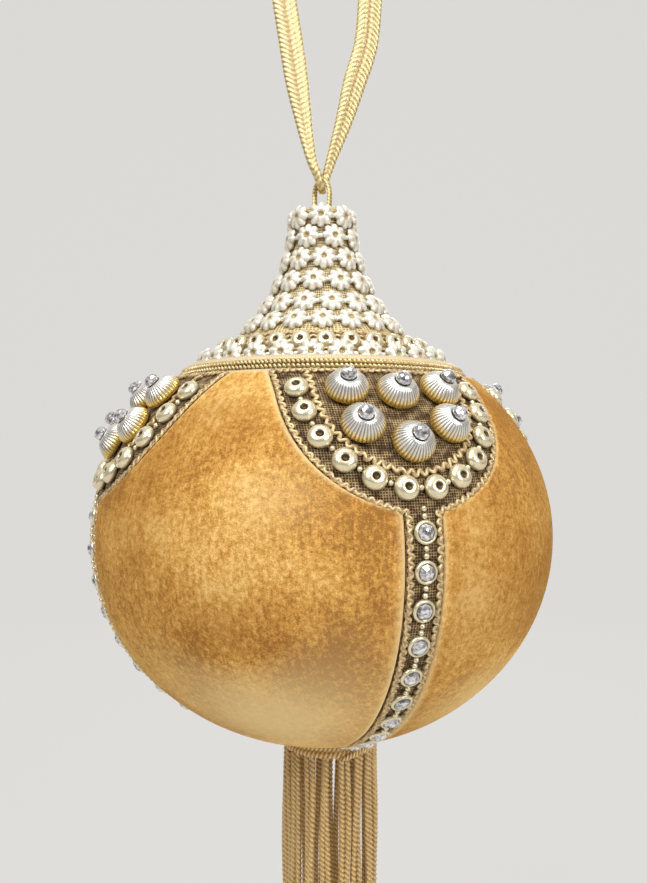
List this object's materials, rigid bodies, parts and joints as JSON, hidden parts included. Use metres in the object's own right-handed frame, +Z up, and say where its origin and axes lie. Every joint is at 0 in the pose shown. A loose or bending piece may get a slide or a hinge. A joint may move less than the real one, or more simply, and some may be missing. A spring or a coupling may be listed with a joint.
{
  "type": "potli evening bag",
  "caption": "Ball-shaped velvet evening pouch with beaded bands, a zipped beaded cap that opens on a cloth hinge, a braided hand strap and a fringe tassel.",
  "frame": {"origin": "where the bag hangs: the inside of the hand strap at its highest point, above the middle of the ball", "axes": "+Z up; -Y is the front, where the first beaded band lies; the cap opens towards +Y"},
  "size_m": [0.1496, 0.1496, 0.3952],
  "materials": {
    "moulded_board": "matt moulded board",
    "satin_lining": "satin",
    "velvet": "short pile velvet",
    "net_cloth": "dark net cloth worked in gold thread",
    "gold_beads": "pale gold plating over plastic",
    "dome_beads": "two-tone gold and silver plating over plastic",
    "zip_tape": "woven tape",
    "zip_coil": "metallised nylon",
    "flower_beads": "silver plating over plastic",
    "slider_metal": "polished",
    "metallic_braid": "flat braid of metallic thread",
    "bullion": "twisted metallic thread"
  },
  "bodies": {
    "pouch": {"ball_shell": "moulded_board", "ball_lining": "satin_lining", "velvet_panel_1": "velvet", "velvet_panel_2": "velvet", "velvet_panel_3": "velvet", "velvet_panel_4": "velvet", "beaded_band_1": "net_cloth", "beaded_band_2": "net_cloth", "beaded_band_3": "net_cloth", "beaded_band_4": "net_cloth", "band_beads_1": "gold_beads", "band_beads_2": "gold_beads", "band_beads_3": "gold_beads", "band_beads_4": "gold_beads", "dome_bead_1_1": "dome_beads", "dome_bead_1_2": "dome_beads", "dome_bead_1_3": "dome_beads", "dome_bead_1_4": "dome_beads", "dome_bead_1_5": "dome_beads", "dome_bead_1_6": "dome_beads", "dome_bead_2_1": "dome_beads", "dome_bead_2_2": "dome_beads", "dome_bead_2_3": "dome_beads", "dome_bead_2_4": "dome_beads", "dome_bead_2_5": "dome_beads", "dome_bead_2_6": "dome_beads", "dome_bead_3_1": "dome_beads", "dome_bead_3_2": "dome_beads", "dome_bead_3_3": "dome_beads", "dome_bead_3_4": "dome_beads", "dome_bead_3_5": "dome_beads", "dome_bead_3_6": "dome_beads", "dome_bead_4_1": "dome_beads", "dome_bead_4_2": "dome_beads", "dome_bead_4_3": "dome_beads", "dome_bead_4_4": "dome_beads", "dome_bead_4_5": "dome_beads", "dome_bead_4_6": "dome_beads", "zip_tape_lower": "zip_tape", "zip_coil_lower": "zip_coil", "hinge_cloth": "zip_tape", "tassel_heading": "bullion", "tassel_fringe": "bullion"},
    "lid": {"cap_shell": "moulded_board", "cap_cloth": "net_cloth", "cap_lining": "satin_lining", "cap_beads_1": "flower_beads", "cap_beads_2": "gold_beads", "cap_beads_3": "flower_beads", "cap_beads_4": "flower_beads", "cap_beads_5": "flower_beads", "cap_beads_6": "flower_beads", "cap_beads_7": "flower_beads", "cap_beads_8": "flower_beads", "zip_tape_upper": "zip_tape", "zip_coil_upper": "zip_coil", "top_loop": "metallic_braid", "hand_strap": "metallic_braid"},
    "slider": {"zip_slider": "slider_metal"},
    "pull": {"pull_tab": "slider_metal"}
  },
  "joints": [
    {"name": "lid_hinge", "type": "hinge", "parent": "pouch", "child": "lid", "pos_m": [0, 0.0472, -0.17061], "axis": [-1, 0, 0], "range_deg": [0, 110]},
    {"name": "slider_travel", "type": "hinge", "parent": "pouch", "child": "slider", "pos_m": [0, 0, -0.16882], "axis": [0, 0, 1], "range_deg": [-280, 0]},
    {"name": "pull_swing", "type": "hinge", "parent": "slider", "child": "pull", "pos_m": [0.03074, 0.03663, -0.16709], "axis": [-0.3687, -0.4394, 0.8192], "range_deg": [0, 170]}
  ]
}
